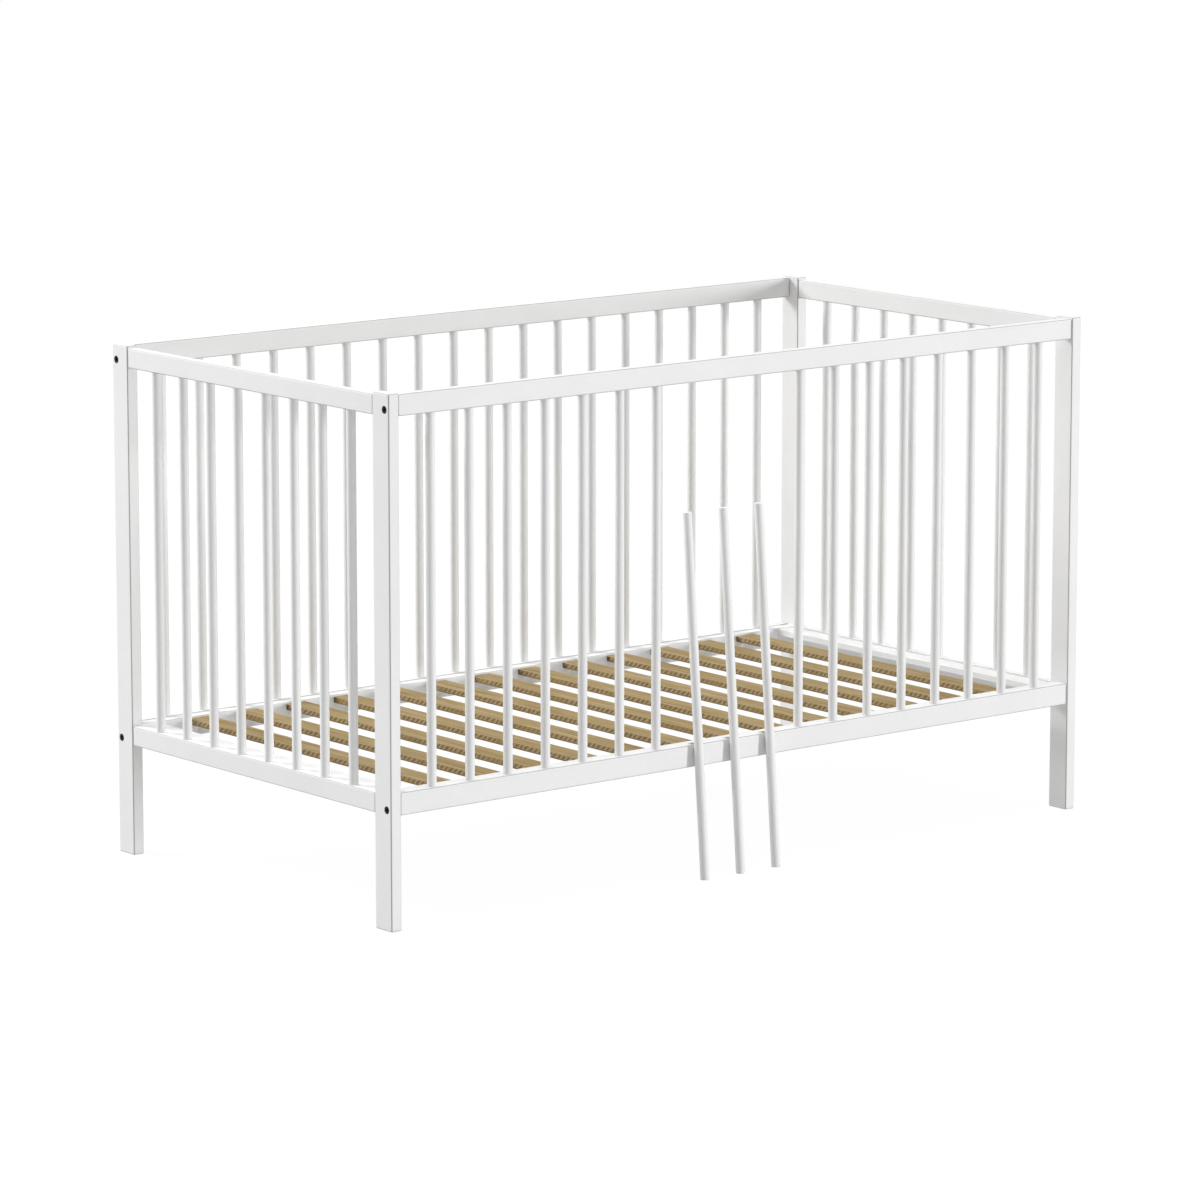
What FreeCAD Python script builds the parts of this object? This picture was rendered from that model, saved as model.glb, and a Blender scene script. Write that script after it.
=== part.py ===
import FreeCAD, Part
import math
import os

# Wooden baby crib for a 1400 x 700 mm mattress: two glued end frames, two long sides
# bolted between them, and a slatted base. Three bars of the front come out as a way
# for the child to climb through; here they are out and lean against the front.
#
# Millimetres. +X runs along the crib, +Y from front to back, +Z up from the floor.
# The origin is on the floor, in the middle of everything that stands on it.

os.makedirs("parts", exist_ok=True)

# ---- driving dimensions ----------------------------------------------------------

LENGTH = 1440.0             # over the posts
WIDTH = 740.0               # over the posts
HEIGHT = 836.0              # posts

POST_THICK = 20.0           # along X
POST_DEEP = 42.0            # along Y
RAIL_THICK = 18.0
LONG_RECESS = 2.0           # long rails stand back from the posts' front and back faces
END_RECESS = 1.0            # end rails stand back from the posts' end faces

LONG_TOP_Z = (800.0, 834.0)
LONG_BOTTOM_Z = (181.0, 217.0)
END_TOP_Z = (800.0, 832.0)
END_BOTTOM_Z = (182.0, 214.0)
EDGE_ROUND = 2.5            # eased edges of posts and rails

BAR_R = 7.5
BAR_TENON = 10.0            # how far a glued bar goes into each rail
BAR_END_ROUND = 1.0         # sanded ends of the loose bars
LONG_BARS = 18              # places along each long side
END_BARS = 8
LOOSE_PLACES = (7, 8, 9)    # places in the front whose bars come out, from the left

SOCKET_R = 7.75             # a loose bar drops in with 0.25 mm to spare
LOW_SOCKET_DEPTH = 4.0
HIGH_SOCKET_DEPTH = 10.0
LOOSE_HOLD = 4.0            # how far a fitted loose bar reaches into the top rail
LEAN_DEG = 4.6              # loose bars, from upright
LEAN_GAP = 0.4              # between a leaning bar and the rail's top edge

BASE_RAIL_THICK = 18.0      # side rails of the slatted base
BASE_RAIL_Z = (183.0, 215.0)
SLAT_COUNT = 13
SLAT_PITCH = 97.5
SLAT_WIDE = 39.0
SLAT_THICK = 10.0
SLAT_TOP_Z = 212.0
SLAT_TENON = 8.0            # how far a slat's end goes into a side rail
SLAT_ROUND = 1.0
END_BOARD_WIDE = 37.5

BOLT_R = 3.0
BOLT_LENGTH = 60.0
BOLT_HEAD_R = 6.0
BOLT_HEAD_LENGTH = 5.5
BOLT_HOLE_R = 3.25
BOLT_HOLE_SPARE = 2.0       # depth beyond the bolt's end
COUNTERBORE_R = 6.25
COUNTERBORE_DEPTH = 6.0
HEX_KEY_WIDE = 5.0          # across the flats of the socket in the bolt's head
HEX_KEY_DEPTH = 3.0
BOLT_TOP_Z = 811.0
BOLT_BOTTOM_Z = 191.0
NUT_R = 5.0
NUT_LENGTH = 16.0
NUT_HOLE_R = 5.1
NUT_FROM_END = 40.0         # nut's axis, from the rail's end

DOWEL_R = 4.0
DOWEL_LENGTH = 32.0
LONG_DOWEL_IN_POST = 12.0
END_DOWEL_IN_POST = 16.0
DOWEL_ABOVE_BOLT = 15.0
END_DOWEL_FROM_EDGE = 8.0

SCREW_R = 2.0
SCREW_HEAD_R = 4.0
SCREW_HEAD_LENGTH = 3.0
SCREW_LENGTH = 30.0
SCREW_Z = 192.0
SCREW_SLATS = (1, 5, 9, 13)  # a screw in each side rail under these slats

# ---- places worked out from them -------------------------------------------------

X_LEFT = -LENGTH / 2
X_RIGHT = LENGTH / 2
INNER_LEFT = X_LEFT + POST_THICK
INNER_RIGHT = X_RIGHT - POST_THICK

LOOSE_LENGTH = LONG_TOP_Z[0] - LONG_BOTTOM_Z[1] + LOW_SOCKET_DEPTH + LOOSE_HOLD
LEAN = math.radians(LEAN_DEG)

# A leaning bar's foot, from the posts' front: the bar clears the rounded edge of the
# bottom rail by LEAN_GAP, and the lowest point of its rounded rim is on the floor.
RIM_R = BAR_R - BAR_END_ROUND
FOOT_Z = RIM_R * math.sin(LEAN) + BAR_END_ROUND * (1 - math.cos(LEAN))
EDGE_Y = LONG_RECESS + EDGE_ROUND           # centre of that round, from the posts' front
EDGE_Z = LONG_BOTTOM_Z[1] - EDGE_ROUND
FOOT_Y = EDGE_Y - (BAR_R + LEAN_GAP + EDGE_ROUND) / math.cos(LEAN) - (EDGE_Z - FOOT_Z) * math.tan(LEAN)

# Loose bars stand this far in front of the posts.
REACH = RIM_R * math.cos(LEAN) + BAR_END_ROUND * (1 - math.sin(LEAN)) - FOOT_Y

Y_FRONT = (REACH - WIDTH) / 2
Y_BACK = Y_FRONT + WIDTH
FRONT_RAIL_Y = Y_FRONT + LONG_RECESS
BACK_RAIL_Y = Y_BACK - LONG_RECESS - RAIL_THICK
LEFT_RAIL_X = X_LEFT + END_RECESS
RIGHT_RAIL_X = X_RIGHT - END_RECESS - RAIL_THICK

LONG_PITCH = (INNER_RIGHT - INNER_LEFT + 2 * BAR_R) / (LONG_BARS + 1)
END_SPAN = WIDTH - 2 * POST_DEEP
END_PITCH = (END_SPAN + 2 * BAR_R) / (END_BARS + 1)
LONG_BAR_X = [INNER_LEFT - BAR_R + LONG_PITCH * (i + 1) for i in range(LONG_BARS)]
END_BAR_Y = [Y_FRONT + POST_DEEP - BAR_R + END_PITCH * (i + 1) for i in range(END_BARS)]

BASE_FRONT_Y = FRONT_RAIL_Y + RAIL_THICK
BASE_BACK_Y = BACK_RAIL_Y - BASE_RAIL_THICK
SLAT_X = [(i - (SLAT_COUNT - 1) / 2) * SLAT_PITCH for i in range(SLAT_COUNT)]
SLAT_Y = BASE_FRONT_Y + BASE_RAIL_THICK - SLAT_TENON
SLAT_LENGTH = BASE_BACK_Y + SLAT_TENON - SLAT_Y


# ---- shapes ----------------------------------------------------------------------

def box(x, y, z, wide, deep, high):
    return Part.makeBox(wide, deep, high, FreeCAD.Vector(x, y, z))


def rod(radius, start, direction, length):
    return Part.makeCylinder(radius, length, FreeCAD.Vector(*start), FreeCAD.Vector(*direction))


def round_edges(solid, radius, axis):
    """Round the four edges of a box that run along one axis, 0 for X or 1 for Y."""
    chosen = []
    for edge in solid.Edges:
        run = edge.Vertexes[-1].Point - edge.Vertexes[0].Point
        if abs(run[axis]) > 0:
            chosen.append(edge)
    return solid.makeFillet(radius, chosen)


def save(node, *solids):
    shape = solids[0] if len(solids) == 1 else Part.makeCompound(list(solids))
    shape.exportStep("parts/" + node + ".step")


# ---- where the sides meet the posts ----------------------------------------------

class Corner:
    """One corner of the crib: which end and which side its post stands at."""

    def __init__(self, end, side):
        self.end = end
        self.side = side
        self.into_x = 1 if end == "left" else -1
        self.into_y = 1 if side == "front" else -1
        self.outer_x = X_LEFT if end == "left" else X_RIGHT
        self.outer_y = Y_FRONT if side == "front" else Y_BACK
        self.inner_x = self.outer_x + self.into_x * POST_THICK
        self.inner_y = self.outer_y + self.into_y * POST_DEEP
        self.rail_y = self.outer_y + self.into_y * (LONG_RECESS + RAIL_THICK / 2)
        self.rail_x = self.outer_x + self.into_x * (END_RECESS + RAIL_THICK / 2)


CORNERS = [Corner(end, side) for side in ("front", "back") for end in ("left", "right")]
BOLT_HEIGHTS = (BOLT_TOP_Z, BOLT_BOTTOM_Z)
END_DOWEL_HEIGHTS = (
    END_TOP_Z[0] + END_DOWEL_FROM_EDGE,
    END_TOP_Z[1] - END_DOWEL_FROM_EDGE,
    END_BOTTOM_Z[0] + END_DOWEL_FROM_EDGE,
    END_BOTTOM_Z[1] - END_DOWEL_FROM_EDGE,
)


def bolt_hole(corner, z):
    """Counterbore and clearance hole through the post and into the rail's end."""
    start = (corner.outer_x, corner.rail_y, z)
    direction = (corner.into_x, 0, 0)
    counterbore = rod(COUNTERBORE_R, start, direction, COUNTERBORE_DEPTH)
    clearance = rod(BOLT_HOLE_R, start, direction, COUNTERBORE_DEPTH + BOLT_LENGTH + BOLT_HOLE_SPARE)
    return counterbore.fuse(clearance)


def bolt(corner, z):
    """Socket-head bolt: its head sits on the floor of the counterbore."""
    direction = (corner.into_x, 0, 0)
    seat_x = corner.outer_x + corner.into_x * COUNTERBORE_DEPTH
    top_x = seat_x - corner.into_x * BOLT_HEAD_LENGTH
    head = rod(BOLT_HEAD_R, (top_x, corner.rail_y, z), direction, BOLT_HEAD_LENGTH)
    shank = rod(BOLT_R, (seat_x, corner.rail_y, z), direction, BOLT_LENGTH)
    corners = []
    for i in range(7):
        angle = math.radians(60 * i)
        reach = HEX_KEY_WIDE / math.sqrt(3)
        y = corner.rail_y + reach * math.cos(angle)
        corners.append(FreeCAD.Vector(top_x, y, z + reach * math.sin(angle)))
    socket = Part.Face(Part.makePolygon(corners))
    socket = socket.extrude(FreeCAD.Vector(corner.into_x * HEX_KEY_DEPTH, 0, 0))
    return head.fuse(shank).cut(socket).removeSplitter()


def nut_hole(corner, rail_z):
    """Hole for a barrel nut, from the rail's under face."""
    x = corner.inner_x + corner.into_x * NUT_FROM_END
    depth = bolt_height_in(rail_z) + NUT_LENGTH / 2 - rail_z[0]
    return rod(NUT_HOLE_R, (x, corner.rail_y, rail_z[0]), (0, 0, 1), depth)


def barrel_nut(corner, z):
    """Barrel nut across the bolt, which passes through it."""
    x = corner.inner_x + corner.into_x * NUT_FROM_END
    nut = rod(NUT_R, (x, corner.rail_y, z - NUT_LENGTH / 2), (0, 0, 1), NUT_LENGTH)
    thread = rod(BOLT_R, (x - 2 * NUT_R, corner.rail_y, z), (1, 0, 0), 4 * NUT_R)
    return nut.cut(thread)


def bolt_height_in(rail_z):
    return BOLT_TOP_Z if rail_z == LONG_TOP_Z else BOLT_BOTTOM_Z


def long_dowel(corner, z):
    start_x = corner.inner_x - corner.into_x * LONG_DOWEL_IN_POST
    return rod(DOWEL_R, (start_x, corner.rail_y, z), (corner.into_x, 0, 0), DOWEL_LENGTH)


def end_dowel(corner, z):
    start_y = corner.inner_y - corner.into_y * END_DOWEL_IN_POST
    return rod(DOWEL_R, (corner.rail_x, start_y, z), (0, corner.into_y, 0), DOWEL_LENGTH)


# ---- posts -----------------------------------------------------------------------

def post(corner):
    x = min(corner.outer_x, corner.inner_x)
    y = min(corner.outer_y, corner.inner_y)
    solid = box(x, y, 0, POST_THICK, POST_DEEP, HEIGHT)
    solid = solid.makeFillet(EDGE_ROUND, solid.Edges)
    for z in BOLT_HEIGHTS:
        solid = solid.cut(bolt_hole(corner, z))
        solid = solid.cut(long_dowel(corner, z + DOWEL_ABOVE_BOLT))
    for z in END_DOWEL_HEIGHTS:
        solid = solid.cut(end_dowel(corner, z))
    return solid


# ---- rails and their bars --------------------------------------------------------

def long_rail(side, rail_z):
    y = FRONT_RAIL_Y if side == "front" else BACK_RAIL_Y
    middle_y = y + RAIL_THICK / 2
    is_top = rail_z == LONG_TOP_Z
    solid = box(INNER_LEFT, y, rail_z[0], INNER_RIGHT - INNER_LEFT, RAIL_THICK, rail_z[1] - rail_z[0])
    solid = solid.makeFillet(EDGE_ROUND, solid.Edges)
    for corner in CORNERS:
        if corner.side == side:
            bolt_z = bolt_height_in(rail_z)
            solid = solid.cut(bolt_hole(corner, bolt_z))
            solid = solid.cut(nut_hole(corner, rail_z))
            solid = solid.cut(long_dowel(corner, bolt_z + DOWEL_ABOVE_BOLT))
    for place, x in enumerate(LONG_BAR_X):
        loose = side == "front" and place in LOOSE_PLACES
        if loose:
            radius = SOCKET_R
            depth = HIGH_SOCKET_DEPTH if is_top else LOW_SOCKET_DEPTH
        else:
            radius = BAR_R
            depth = BAR_TENON
        floor_z = rail_z[0] if is_top else rail_z[1] - depth
        solid = solid.cut(rod(radius, (x, middle_y, floor_z), (0, 0, 1), depth))
    if not is_top:
        for screw in base_screws(side):
            solid = solid.cut(screw)
    return solid


def end_rail(end, rail_z):
    x = LEFT_RAIL_X if end == "left" else RIGHT_RAIL_X
    middle_x = x + RAIL_THICK / 2
    y = Y_FRONT + POST_DEEP
    solid = box(x, y, rail_z[0], RAIL_THICK, END_SPAN, rail_z[1] - rail_z[0])
    solid = solid.makeFillet(EDGE_ROUND, solid.Edges)
    heights = [z for z in END_DOWEL_HEIGHTS if rail_z[0] < z < rail_z[1]]
    for corner in CORNERS:
        if corner.end == end:
            for z in heights:
                solid = solid.cut(end_dowel(corner, z))
    for bar_y in END_BAR_Y:
        floor_z = rail_z[0] if rail_z == END_TOP_Z else rail_z[1] - BAR_TENON
        solid = solid.cut(rod(BAR_R, (middle_x, bar_y, floor_z), (0, 0, 1), BAR_TENON))
    return solid


def fixed_bar(x, y, low_z, high_z):
    return rod(BAR_R, (x, y, low_z - BAR_TENON), (0, 0, 1), high_z - low_z + 2 * BAR_TENON)


def long_side_bar(side, place):
    y = (FRONT_RAIL_Y if side == "front" else BACK_RAIL_Y) + RAIL_THICK / 2
    return fixed_bar(LONG_BAR_X[place], y, LONG_BOTTOM_Z[1], LONG_TOP_Z[0])


def end_bars(end):
    x = (LEFT_RAIL_X if end == "left" else RIGHT_RAIL_X) + RAIL_THICK / 2
    return [fixed_bar(x, y, END_BOTTOM_Z[1], END_TOP_Z[0]) for y in END_BAR_Y]


def loose_bar(place):
    """A bar out of its sockets: its foot is on the floor and it leans on the bottom rail."""
    start = (LONG_BAR_X[place], Y_FRONT + FOOT_Y, FOOT_Z)
    solid = rod(BAR_R, start, (0, math.sin(LEAN), math.cos(LEAN)), LOOSE_LENGTH)
    rims = [edge for edge in solid.Edges if isinstance(edge.Curve, Part.Circle)]
    return solid.makeFillet(BAR_END_ROUND, rims)


# ---- slatted base ----------------------------------------------------------------

def board(x, wide):
    """A slat or end board, lying across the crib with its ends in the side rails."""
    solid = box(x, SLAT_Y, SLAT_TOP_Z - SLAT_THICK, wide, SLAT_LENGTH, SLAT_THICK)
    return round_edges(solid, SLAT_ROUND, 1)


def end_board(end):
    x = INNER_LEFT if end == "left" else INNER_RIGHT - END_BOARD_WIDE
    return board(x, END_BOARD_WIDE)


def slat(number):
    return board(SLAT_X[number] - SLAT_WIDE / 2, SLAT_WIDE)


def base_screw(x, y, direction):
    """Countersunk screw, driven outwards through the side rail into the long rail."""
    head = Part.makeCone(SCREW_HEAD_R, SCREW_R, SCREW_HEAD_LENGTH,
                         FreeCAD.Vector(x, y, SCREW_Z), FreeCAD.Vector(0, direction, 0))
    shank = rod(SCREW_R, (x, y, SCREW_Z), (0, direction, 0), SCREW_LENGTH)
    return head.fuse(shank).removeSplitter()


def base_screws(side):
    """One side's screws, each hidden below a slat."""
    y, direction = BASE_BACK_Y, 1
    if side == "front":
        y, direction = BASE_FRONT_Y + BASE_RAIL_THICK, -1
    return [base_screw(SLAT_X[number - 1], y, direction) for number in SCREW_SLATS]


def base_side_rail(side):
    y = BASE_FRONT_Y if side == "front" else BASE_BACK_Y
    length = INNER_RIGHT - INNER_LEFT
    solid = box(INNER_LEFT, y, BASE_RAIL_Z[0], length, BASE_RAIL_THICK, BASE_RAIL_Z[1] - BASE_RAIL_Z[0])
    solid = round_edges(solid, SLAT_ROUND, 0)
    for number in range(SLAT_COUNT):
        solid = solid.cut(slat(number))
    for end in ("left", "right"):
        solid = solid.cut(end_board(end))
    for screw in base_screws(side):
        solid = solid.cut(screw)
    return solid


# ---- the crib --------------------------------------------------------------------

for corner in CORNERS:
    save("post_" + corner.side + "_" + corner.end, post(corner))

for side in ("front", "back"):
    save(side + "_top_rail", long_rail(side, LONG_TOP_Z))
    save(side + "_bottom_rail", long_rail(side, LONG_BOTTOM_Z))
    save("base_side_rail_" + side, base_side_rail(side))

for end in ("left", "right"):
    save(end + "_top_rail", end_rail(end, END_TOP_Z))
    save(end + "_bottom_rail", end_rail(end, END_BOTTOM_Z))
    save(end + "_end_bars", *end_bars(end))
    save("base_end_board_" + end, end_board(end))

for place in range(LONG_BARS):
    if place in LOOSE_PLACES:
        save("loose_bar_%d" % (place - LOOSE_PLACES[0] + 1), loose_bar(place))
    else:
        save("front_bar_%02d" % (place + 1), long_side_bar("front", place))
save("back_bars", *[long_side_bar("back", place) for place in range(LONG_BARS)])

for number in range(SLAT_COUNT):
    save("slat_%02d" % (number + 1), slat(number))

BOLT_PLACES = [(corner, z) for corner in CORNERS for z in BOLT_HEIGHTS]
save("rail_bolts", *[bolt(corner, z) for corner, z in BOLT_PLACES])
save("barrel_nuts", *[barrel_nut(corner, z) for corner, z in BOLT_PLACES])
save("rail_dowels", *[long_dowel(corner, z + DOWEL_ABOVE_BOLT) for corner, z in BOLT_PLACES])
save("end_rail_dowels", *[end_dowel(corner, z) for corner in CORNERS for z in END_DOWEL_HEIGHTS])
save("base_screws", *base_screws("front"), *base_screws("back"))
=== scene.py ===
import math

import bpy
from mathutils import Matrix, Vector


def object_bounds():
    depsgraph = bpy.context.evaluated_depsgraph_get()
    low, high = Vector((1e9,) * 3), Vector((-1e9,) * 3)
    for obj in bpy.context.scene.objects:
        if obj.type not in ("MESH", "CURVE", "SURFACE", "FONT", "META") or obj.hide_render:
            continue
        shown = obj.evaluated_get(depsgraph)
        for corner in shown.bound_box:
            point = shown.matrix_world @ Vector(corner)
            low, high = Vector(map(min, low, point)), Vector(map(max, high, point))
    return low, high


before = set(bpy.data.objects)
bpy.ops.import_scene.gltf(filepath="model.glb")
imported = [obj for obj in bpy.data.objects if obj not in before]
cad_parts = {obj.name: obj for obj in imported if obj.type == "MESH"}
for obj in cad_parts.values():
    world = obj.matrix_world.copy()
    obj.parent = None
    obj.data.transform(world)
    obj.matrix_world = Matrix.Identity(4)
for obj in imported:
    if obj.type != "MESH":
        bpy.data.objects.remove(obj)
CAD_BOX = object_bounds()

# White wooden crib with a slatted base, three bars out of the front and leaning on it.
# Metres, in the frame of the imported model: +X along the crib, +Y from front to back, +Z up.

MM = 0.001
MIDDLE = (CAD_BOX[0] + CAD_BOX[1]) / 2
WHITE = (1.0, 1.0, 1.0, 1.0)

# ---- camera and studio ------------------------------------------------------------

CAMERA_AZIMUTH = -38.9      # degrees; 0 is in front, so this is from the front left
CAMERA_ELEVATION = 10.2
CAMERA_DISTANCE = 9.66
CAMERA_LENS = 176.0         # mm, on the default 36 mm sensor
CAMERA_REACH = 200.0        # far enough to see the floor to its edge
AIM_FROM_MIDDLE = Vector((-0.017, 0.007, -0.028))

FLOOR_SIZE = 120.0
FLOOR_LIGHT = 0.485         # glow that lights the crib from below
FLOOR_TONE = (0.2, 0.2, 0.2)            # and how much of the other light it gives back
FLOOR_LIGHT_SHOWN = 0.95    # the same two as the camera sees them: nearly plain white
FLOOR_TONE_SHOWN = (0.05, 0.05, 0.05)

SKY_LIGHT = 2.20            # strength of the sky overhead
SKY_STARTS = 0.5            # heights, as sines, where it begins and where it is full,
SKY_FULL = 0.95             # high up, so that it lights the tops more than the sides

# Softboxes: azimuth and elevation in degrees, distance, width, height, watts.
REAR_SOFTBOX = (-142.0, 30.0, 9.0, 3.2, 2.8, 625.0)
SIDE_SOFTBOX = (38.0, 5.0, 24.0, 2.4, 4.8, 3130.0)

# ---- white paint ------------------------------------------------------------------
# Here and below, names in _SCALE are noise scales, in cells to the metre.

PAINT_COOL = (0.800, 0.803, 0.805)
PAINT_WARM = (0.825, 0.825, 0.820)
PAINT_MOTTLE = (0.783, 0.785, 0.788)
PAINT_OVER_GRAIN = (0.770, 0.770, 0.765)
PAINTED_EDGE_SHADE = (0.46, 0.46, 0.45)         # painted shade on the rounded edges
PAINT_ROUGHNESS = (0.50, 0.60)
PAINT_BUMP = 0.03 * MM
PAINT_GRAIN_LENGTH = 40.0               # times its width
PAINT_GRAIN_SCALE = 900.0
PAINT_SPRAY_SCALE = 700.0
PAINT_MOTTLE_SCALE = 160.0
PAINT_CLOUD_SCALE = 9.0
FACE_NORMAL = 0.97          # largest part of a normal that still counts as a flat face,
EDGE_NORMAL = 0.82          # and the one that is wholly on a rounded edge
LEAN = math.radians(4.6)    # of the loose bars, from upright

# ---- bare slats -------------------------------------------------------------------

RING_COLOURS = (            # across the growth rings on the broad faces, dark to pale
    (0.30, (0.187, 0.116, 0.036)),
    (0.43, (0.288, 0.206, 0.088)),
    (0.56, (0.348, 0.262, 0.128)),
    (0.72, (0.465, 0.373, 0.213)),
)
FACE_FIBRE = (0.221, 0.146, 0.062)
FACE_BLOTCH = (0.276, 0.188, 0.075)
STROKE_COLOURS = (          # across the saw marks on the narrow sides
    (0.10, (0.196, 0.124, 0.066)),
    (0.50, (0.316, 0.222, 0.102)),
    (0.90, (0.408, 0.306, 0.150)),
)
UNMARKED_COLOURS = ((0.35, (0.330, 0.234, 0.084)), (0.65, (0.262, 0.170, 0.046)))
SIDE_FIBRE = (0.147, 0.092, 0.040)
# painted shade on the narrow sides where they meet the rails
PAINTED_SHADE_AT_RAIL = (0.060, 0.036, 0.018)
# painted highlight on the upper arris, painted shade on the lower
PAINTED_HIGHLIGHT_ARRIS = (0.396, 0.307, 0.176)
PAINTED_SHADE_ARRIS = (0.120, 0.069, 0.016)
SLAT_ROUGHNESS = (0.55, 0.72)
SLAT_BUMP = 0.12 * MM
SLAT_GRAIN_LENGTH = 1 / 0.03
SLAT_RING_SCALE = 150.0
SLAT_FIBRE_SCALE = 1100.0
SLAT_BLOTCH_SCALE = 14.0
SAW_MARK_PITCH = 0.012      # along the slat
SAW_MARK_SLANT = 1.1        # along the slat for each unit up
SAW_MARK_WANDER = 0.010
SAW_WANDER_SCALE = 60.0
SAW_PATCH_SCALE = 9.0       # of the patches where the marks fade

# ---- hardware ---------------------------------------------------------------------

BEECH_COLOURS = ((0.3, (0.50, 0.34, 0.19)), (0.7, (0.62, 0.45, 0.27)))
BEECH_FLECK = (0.33, 0.20, 0.10)
BLACK_OXIDE_COLOURS = ((0.45, (0.012, 0.012, 0.013)), (0.75, (0.035, 0.034, 0.034)))
ZINC_COLOURS = ((0.3, (0.46, 0.47, 0.49)), (0.7, (0.62, 0.62, 0.60)))


class Nodes:
    """The node tree of a new material or of a world, with short ways to add to it."""

    def __init__(self, owner):
        owner.use_nodes = True
        self.tree = owner.node_tree
        self.tree.nodes.clear()

    def add(self, kind, links=None, values=None, **settings):
        """A new node. links and values go to its inputs, by name or number."""
        node = self.tree.nodes.new(kind)
        for name, value in settings.items():
            setattr(node, name, value)
        for socket, value in (values or {}).items():
            node.inputs[socket].default_value = value
        for socket, output in (links or {}).items():
            self.tree.links.new(output, node.inputs[socket])
        return node

    def math(self, operation, first, second=0.0, third=0.0):
        """The result of a sum on numbers or other nodes' outputs."""
        links, values = {}, {}
        for i, term in enumerate((first, second, third)):
            if isinstance(term, (int, float)):
                values[i] = term
            else:
                links[i] = term
        return self.add("ShaderNodeMath", links, values, operation=operation).outputs[0]

    def noise(self, vector, scale, detail=2.0, roughness=0.5, distortion=0.0):
        values = {
            "Scale": scale,
            "Detail": detail,
            "Roughness": roughness,
            "Distortion": distortion,
        }
        return self.add("ShaderNodeTexNoise", {"Vector": vector}, values).outputs["Fac"]

    def remap(self, value, low, high, to_low=0.0, to_high=1.0, kind="SMOOTHSTEP"):
        """value, from low..high to to_low..to_high, held at both ends."""
        values = {"From Min": low, "From Max": high, "To Min": to_low, "To Max": to_high}
        node = self.add("ShaderNodeMapRange", {"Value": value}, values, interpolation_type=kind)
        return node.outputs[0]

    def ramp(self, value, stops):
        """Colours along value, each stop a place and a colour."""
        node = self.add("ShaderNodeValToRGB", {"Fac": value})
        elements = node.color_ramp.elements
        while len(elements) < len(stops):
            elements.new(0.5)
        for element, (place, colour) in zip(elements, stops):
            element.position = place
            element.color = (*colour, 1.0)
        return node.outputs["Color"]

    def blend(self, share, first, second):
        """Two colours mixed by share, each of the three given or another node's output."""
        share_socket, first_socket, second_socket, result = 0, 6, 7, 2
        node = self.add("ShaderNodeMix", data_type="RGBA")
        terms = ((share_socket, share), (first_socket, first), (second_socket, second))
        for socket, term in terms:
            if isinstance(term, bpy.types.NodeSocket):
                self.tree.links.new(term, node.inputs[socket])
            elif socket == share_socket:
                node.inputs[socket].default_value = term
            else:
                node.inputs[socket].default_value = (*term, 1.0)
        return node.outputs[result]

    def place(self, turn_x=0.0):
        """Object coordinates, after a turn about X."""
        place = self.add("ShaderNodeTexCoord").outputs["Object"]
        turn = {"Rotation": (turn_x, 0.0, 0.0)}
        return self.add("ShaderNodeMapping", {"Vector": place}, turn).outputs[0]

    def stretched(self, place, along, long_by):
        """Coordinates that draw a pattern out long_by times along one axis."""
        scale = [1.0, 1.0, 1.0]
        scale["XYZ".index(along)] = 1.0 / long_by
        node = self.add("ShaderNodeVectorMath", {0: place}, {1: scale}, operation="MULTIPLY")
        return node.outputs[0]

    def bump(self, height, distance, strength=1.0):
        values = {"Distance": distance, "Strength": strength}
        return self.add("ShaderNodeBump", {"Height": height}, values).outputs[0]

    def finish(self, links, values):
        """The principled shader with these inputs, as the surface."""
        shader = self.add("ShaderNodeBsdfPrincipled", links, values)
        self.surface(shader)

    def surface(self, shader):
        self.add("ShaderNodeOutputMaterial", {"Surface": shader.outputs[0]})


# ---- materials --------------------------------------------------------------------

def white_paint(name, along, turn_x=0.0, boxed=True):
    """Satin white paint on solid wood, with faint grain along the piece.

    On a squared piece the rounded edges are greyer: painted shade along them.
    """
    material = bpy.data.materials.new(name)
    nodes = Nodes(material)
    place = nodes.place(turn_x)
    drawn_out = nodes.stretched(place, along, PAINT_GRAIN_LENGTH)

    grain = nodes.noise(drawn_out, PAINT_GRAIN_SCALE, 3.0, 0.6)
    spray = nodes.noise(place, PAINT_SPRAY_SCALE, 2.0, 0.55)
    cloud = nodes.noise(place, PAINT_CLOUD_SCALE)
    mottle = nodes.noise(place, PAINT_MOTTLE_SCALE, 2.0, 0.6)

    tone = nodes.blend(nodes.remap(cloud, 0.35, 0.65), PAINT_COOL, PAINT_WARM)
    tone = nodes.blend(nodes.remap(mottle, 0.3, 0.7, 0.0, 0.35), tone, PAINT_MOTTLE)
    tone = nodes.blend(nodes.remap(grain, 0.62, 0.75, 0.0, 0.3), tone, PAINT_OVER_GRAIN)

    # Painted shade: greyer on the rounded edges of squared pieces.
    if boxed:
        facing = nodes.add("ShaderNodeTexCoord").outputs["Normal"]
        facing = nodes.add("ShaderNodeSeparateXYZ", {0: facing}).outputs
        flat = nodes.math("ABSOLUTE", facing["X"])
        for axis in ("Y", "Z"):
            flat = nodes.math("MAXIMUM", flat, nodes.math("ABSOLUTE", facing[axis]))
        tone = nodes.blend(nodes.remap(flat, FACE_NORMAL, EDGE_NORMAL), tone, PAINTED_EDGE_SHADE)

    height = nodes.math("MULTIPLY_ADD", grain, 0.6, spray)
    nodes.finish(
        {
            "Base Color": tone,
            "Roughness": nodes.remap(spray, 0.3, 0.7, *PAINT_ROUGHNESS),
            "Normal": nodes.bump(height, PAINT_BUMP, 0.5),
        },
        {"IOR": 1.48, "Specular IOR Level": 0.5},
    )
    return material


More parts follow.
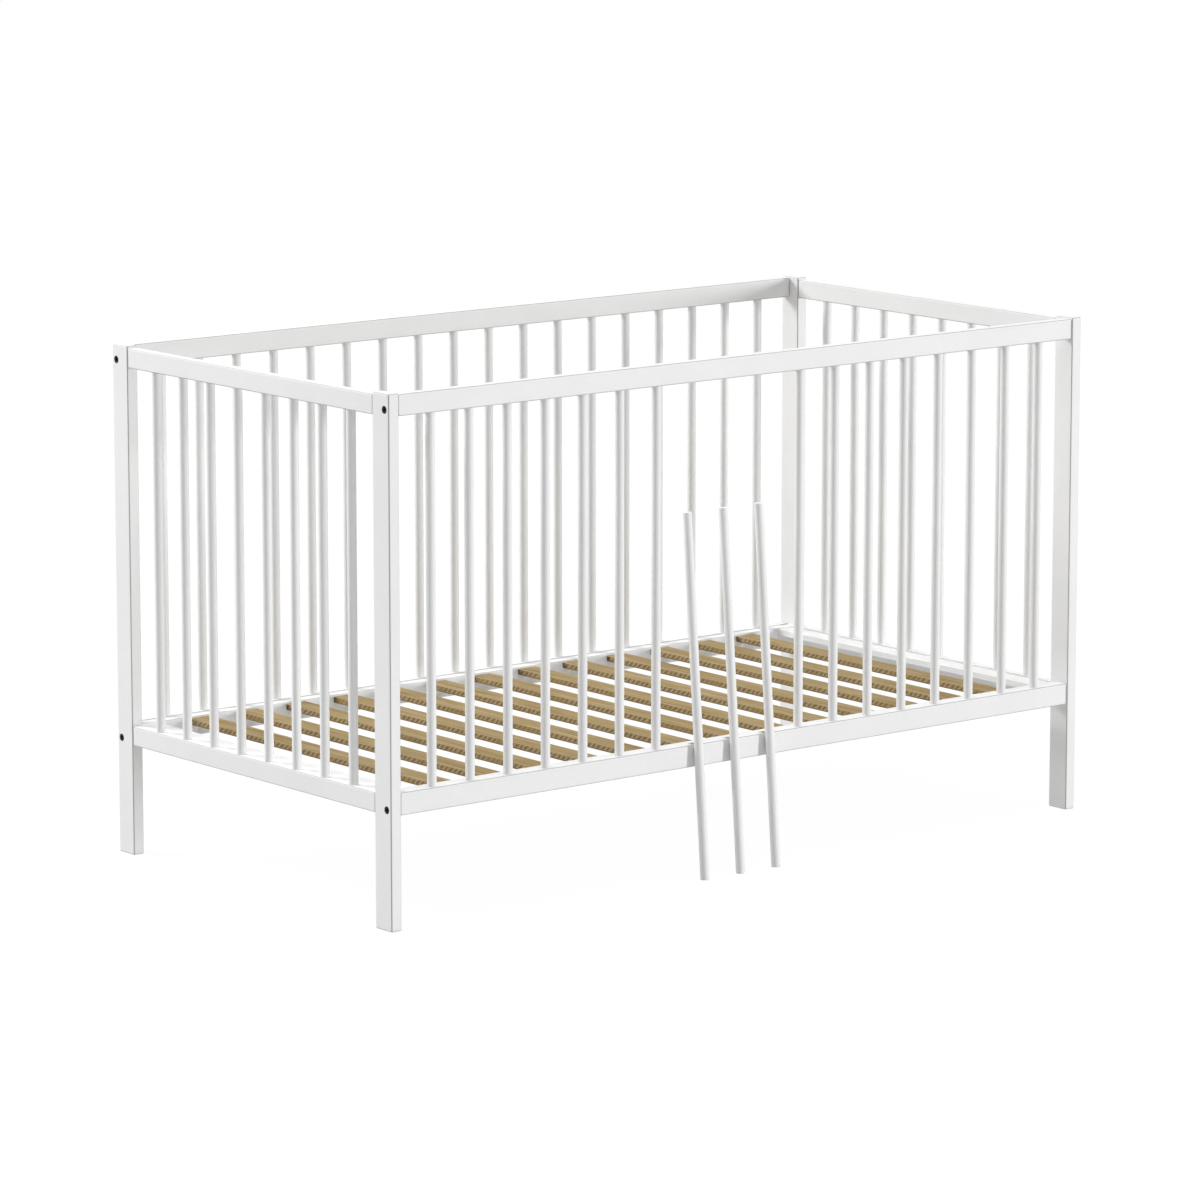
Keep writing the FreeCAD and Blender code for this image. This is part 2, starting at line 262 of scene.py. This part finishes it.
def slat_wood():
    """Bare softwood: straight grain on the faces, slanting saw marks on the narrow sides."""
    material = bpy.data.materials.new("slat_wood")
    nodes = Nodes(material)
    coordinates = nodes.add("ShaderNodeTexCoord").outputs
    within = nodes.add("ShaderNodeSeparateXYZ", {0: coordinates["Generated"]}).outputs
    each = nodes.add("ShaderNodeObjectInfo").outputs["Random"]
    shift = nodes.add("ShaderNodeCombineXYZ", {"X": each, "Y": each}).outputs[0]
    place = {0: coordinates["Object"], 1: shift}
    place = nodes.add("ShaderNodeVectorMath", place).outputs[0]
    drawn_out = nodes.stretched(place, "Y", SLAT_GRAIN_LENGTH)

    # The broad faces.
    rings = nodes.noise(drawn_out, SLAT_RING_SCALE, 4.0, 0.6, 0.6)
    fibres = nodes.noise(drawn_out, SLAT_FIBRE_SCALE, 2.0, 0.6)
    blotch = nodes.noise(place, SLAT_BLOTCH_SCALE)
    face = nodes.ramp(rings, RING_COLOURS)
    face = nodes.blend(nodes.remap(fibres, 0.45, 0.75, 0.0, 0.40), face, FACE_FIBRE)
    face = nodes.blend(nodes.remap(blotch, 0.40, 0.65, 0.0, 0.35), face, FACE_BLOTCH)

    # The narrow sides, marked on their upper part and plain below.
    parts = nodes.add("ShaderNodeSeparateXYZ", {0: place}).outputs
    wander = nodes.math("MULTIPLY", nodes.noise(place, SAW_WANDER_SCALE), SAW_MARK_WANDER)
    slant = nodes.math("ADD", parts["Y"], nodes.math("MULTIPLY", parts["Z"], SAW_MARK_SLANT))
    slant = nodes.math("ADD", slant, wander)
    stripe = nodes.math("SINE", nodes.math("MULTIPLY", slant, 2 * math.pi / SAW_MARK_PITCH))
    strokes = nodes.ramp(nodes.math("MULTIPLY_ADD", stripe, 0.5, 0.5), STROKE_COLOURS)
    plain = nodes.ramp(fibres, UNMARKED_COLOURS)
    high = nodes.remap(within["Z"], 0.14, 0.34)
    patch = nodes.noise(place, SAW_PATCH_SCALE, 1.0)
    marked = nodes.math("MULTIPLY", high, nodes.remap(patch, 0.52, 0.66, 1.0, 0.35))
    side = nodes.blend(marked, plain, strokes)
    side = nodes.blend(nodes.remap(fibres, 0.4, 0.75, 0.0, 0.25), side, SIDE_FIBRE)
    # Painted shade: the narrow sides darken near both ends, where they meet the rails.
    off_middle = nodes.math("ABSOLUTE", nodes.math("SUBTRACT", within["Y"], 0.5))
    side = nodes.blend(nodes.remap(off_middle, 0.462, 0.490, 0.0, 0.75), side, PAINTED_SHADE_AT_RAIL)

    facing = nodes.add("ShaderNodeSeparateXYZ", {0: coordinates["Normal"]}).outputs["X"]
    on_side = nodes.remap(nodes.math("ABSOLUTE", facing), 0.72, 0.9)
    colour = nodes.blend(on_side, face, side)

    # The long arrises: a painted highlight along the upper one and painted shade along the
    # lower one.
    beside = nodes.math("ABSOLUTE", nodes.math("SUBTRACT", within["X"], 0.5))
    upper = nodes.remap(within["Z"], 0.80, 0.92)
    upper = nodes.math("MULTIPLY", nodes.remap(beside, 0.44, 0.48), upper)
    colour = nodes.blend(nodes.math("MULTIPLY", upper, 0.55), colour, PAINTED_HIGHLIGHT_ARRIS)
    lower = nodes.remap(within["Z"], 0.24, 0.04)
    lower = nodes.math("MULTIPLY", nodes.remap(beside, 0.44, 0.49), lower)
    colour = nodes.blend(nodes.math("MULTIPLY", lower, 0.8), colour, PAINTED_SHADE_ARRIS)

    cuts = nodes.math("MULTIPLY", on_side, nodes.math("MULTIPLY", stripe, 1.2))
    height = nodes.math("ADD", nodes.math("MULTIPLY_ADD", rings, 0.8, fibres), cuts)
    nodes.finish(
        {
            "Base Color": colour,
            "Roughness": nodes.remap(fibres, 0.3, 0.7, *SLAT_ROUGHNESS),
            "Normal": nodes.bump(height, SLAT_BUMP, 0.6),
        },
        {"IOR": 1.45, "Specular IOR Level": 0.3},
    )
    return material


def dowel_wood():
    """Bare beech with short dark flecks."""
    material = bpy.data.materials.new("dowel_wood")
    nodes = Nodes(material)
    place = nodes.place()
    flecks = nodes.noise(place, 900.0, 3.0, 0.7)
    colour = nodes.ramp(nodes.noise(place, 70.0), BEECH_COLOURS)
    colour = nodes.blend(nodes.remap(flecks, 0.58, 0.68, 0.0, 0.6), colour, BEECH_FLECK)
    nodes.finish(
        {"Base Color": colour, "Normal": nodes.bump(flecks, 0.05 * MM)},
        {"Roughness": 0.6, "IOR": 1.45},
    )
    return material


def bolt_steel():
    """Black oxide steel, a little rubbed."""
    material = bpy.data.materials.new("bolt_steel")
    nodes = Nodes(material)
    place = nodes.place()
    fine = nodes.noise(place, 1800.0, 3.0, 0.6)
    nodes.finish(
        {
            "Base Color": nodes.ramp(nodes.noise(place, 260.0), BLACK_OXIDE_COLOURS),
            "Roughness": nodes.remap(fine, 0.3, 0.7, 0.42, 0.6),
            "Normal": nodes.bump(fine, 0.02 * MM, 0.6),
        },
        {"Metallic": 0.6},
    )
    return material


def plated_steel():
    """Zinc-plated steel with a faint cloudy bloom and fine turning lines round X."""
    material = bpy.data.materials.new("plated_steel")
    nodes = Nodes(material)
    place = nodes.place()
    bloom = nodes.noise(place, 320.0, 3.0, 0.6)
    lines = nodes.noise(nodes.stretched(place, "X", 0.05), 400.0)
    nodes.finish(
        {
            "Base Color": nodes.ramp(bloom, ZINC_COLOURS),
            "Roughness": nodes.remap(bloom, 0.3, 0.7, 0.28, 0.42),
            "Normal": nodes.bump(lines, 0.02 * MM, 0.5),
        },
        {"Metallic": 1.0},
    )
    return material


def dress_nodes():
    """Give each CAD node its finish: the first in the table whose start its name has."""
    paint_x = white_paint("white_paint_x", "X")
    paint_y = white_paint("white_paint_y", "Y")
    paint_z = white_paint("white_paint_z", "Z")
    paint_bars = white_paint("white_paint_bars", "Z", boxed=False)
    paint_leaning = white_paint("white_paint_leaning", "Z", LEAN, boxed=False)
    slats, dowels = slat_wood(), dowel_wood()
    bolts, plated = bolt_steel(), plated_steel()
    finishes = (
        ("loose_bar_", paint_leaning),
        ("slat_", slats),
        ("rail_bolts", bolts),
        ("barrel_nuts", plated),
        ("base_screws", plated),
        ("rail_dowels", dowels),
        ("end_rail_dowels", dowels),
        ("left_end_bars", paint_bars),
        ("right_end_bars", paint_bars),
        ("back_bars", paint_bars),
        ("front_bar_", paint_bars),
        ("left_", paint_y),
        ("right_", paint_y),
        ("base_end_board_", paint_y),
        ("base_side_rail_", paint_x),
        ("front_", paint_x),
        ("back_", paint_x),
        ("post_", paint_z),
    )
    for name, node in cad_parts.items():
        finish = next(f for start, f in finishes if name.startswith(start))
        node.data.materials[0] = finish


# ---- studio -----------------------------------------------------------------------

def direction(azimuth, elevation):
    """Unit vector towards a light or the camera. Azimuth 0 is in front, 90 to the right."""
    a, e = math.radians(azimuth), math.radians(elevation)
    return Vector((math.sin(a) * math.cos(e), -math.cos(a) * math.cos(e), math.sin(e)))


def set_up(name, data, location, towards):
    """A light or camera in the scene, looking along a direction."""
    thing = bpy.data.objects.new(name, data)
    bpy.context.scene.collection.objects.link(thing)
    thing.location = location
    thing.rotation_mode = "QUATERNION"
    thing.rotation_quaternion = towards.to_track_quat("-Z", "Y")
    return thing


def softbox(name, azimuth, elevation, distance, width, height, power):
    """A rectangular area light that faces the middle of the crib."""
    light = bpy.data.lights.new(name, "AREA")
    light.shape = "RECTANGLE"
    light.size = width
    light.size_y = height
    light.energy = power
    away = direction(azimuth, elevation)
    set_up(name, light, MIDDLE + away * distance, -away)


def seen_by_camera(nodes):
    return nodes.add("ShaderNodeLightPath").outputs["Is Camera Ray"]


def sky():
    """Soft white light from overhead; the camera sees the sky plain white."""
    world = bpy.data.worlds.new("studio")
    bpy.context.scene.world = world
    nodes = Nodes(world)
    towards = nodes.add("ShaderNodeTexCoord").outputs["Generated"]
    up = nodes.add("ShaderNodeSeparateXYZ", {0: towards}).outputs["Z"]
    glow = nodes.remap(up, SKY_STARTS, SKY_FULL, 0.0, SKY_LIGHT, kind="LINEAR")
    dome = nodes.add("ShaderNodeBackground", {"Strength": glow}, {"Color": WHITE})
    plain = nodes.add("ShaderNodeBackground", values={"Color": WHITE, "Strength": 1.0})
    choice = {0: seen_by_camera(nodes), 1: dome.outputs[0], 2: plain.outputs[0]}
    mixed = nodes.add("ShaderNodeMixShader", choice)
    nodes.add("ShaderNodeOutputWorld", {"Surface": mixed.outputs[0]})


def floor():
    """Plain pale floor that glows a little, nearly white to the camera."""
    half = FLOOR_SIZE / 2
    corners = [(-half, -half, 0), (half, -half, 0), (half, half, 0), (-half, half, 0)]
    mesh = bpy.data.meshes.new("floor")
    mesh.from_pydata(corners, [], [(0, 1, 2, 3)])
    ground = bpy.data.objects.new("floor", mesh)
    bpy.context.scene.collection.objects.link(ground)

    material = bpy.data.materials.new("floor")
    nodes = Nodes(material)
    seen = seen_by_camera(nodes)
    levels = {2: FLOOR_LIGHT, 3: FLOOR_LIGHT_SHOWN}
    strength = nodes.add("ShaderNodeMix", {0: seen}, levels).outputs[0]
    glow = nodes.add("ShaderNodeEmission", {"Strength": strength}, {"Color": WHITE})
    tone = nodes.blend(seen, FLOOR_TONE, FLOOR_TONE_SHOWN)
    lit = nodes.add("ShaderNodeBsdfDiffuse", {"Color": tone})
    nodes.surface(nodes.add("ShaderNodeAddShader", {0: lit.outputs[0], 1: glow.outputs[0]}))
    mesh.materials.append(material)


def camera():
    data = bpy.data.cameras.new("camera")
    data.lens = CAMERA_LENS
    data.clip_end = CAMERA_REACH
    away = direction(CAMERA_AZIMUTH, CAMERA_ELEVATION)
    location = MIDDLE + AIM_FROM_MIDDLE + away * CAMERA_DISTANCE
    bpy.context.scene.camera = set_up("camera", data, location, -away)


camera()
dress_nodes()
sky()
floor()
softbox("rear_softbox", *REAR_SOFTBOX)
softbox("side_softbox", *SIDE_SOFTBOX)
bpy.context.scene.view_settings.view_transform = "Standard"
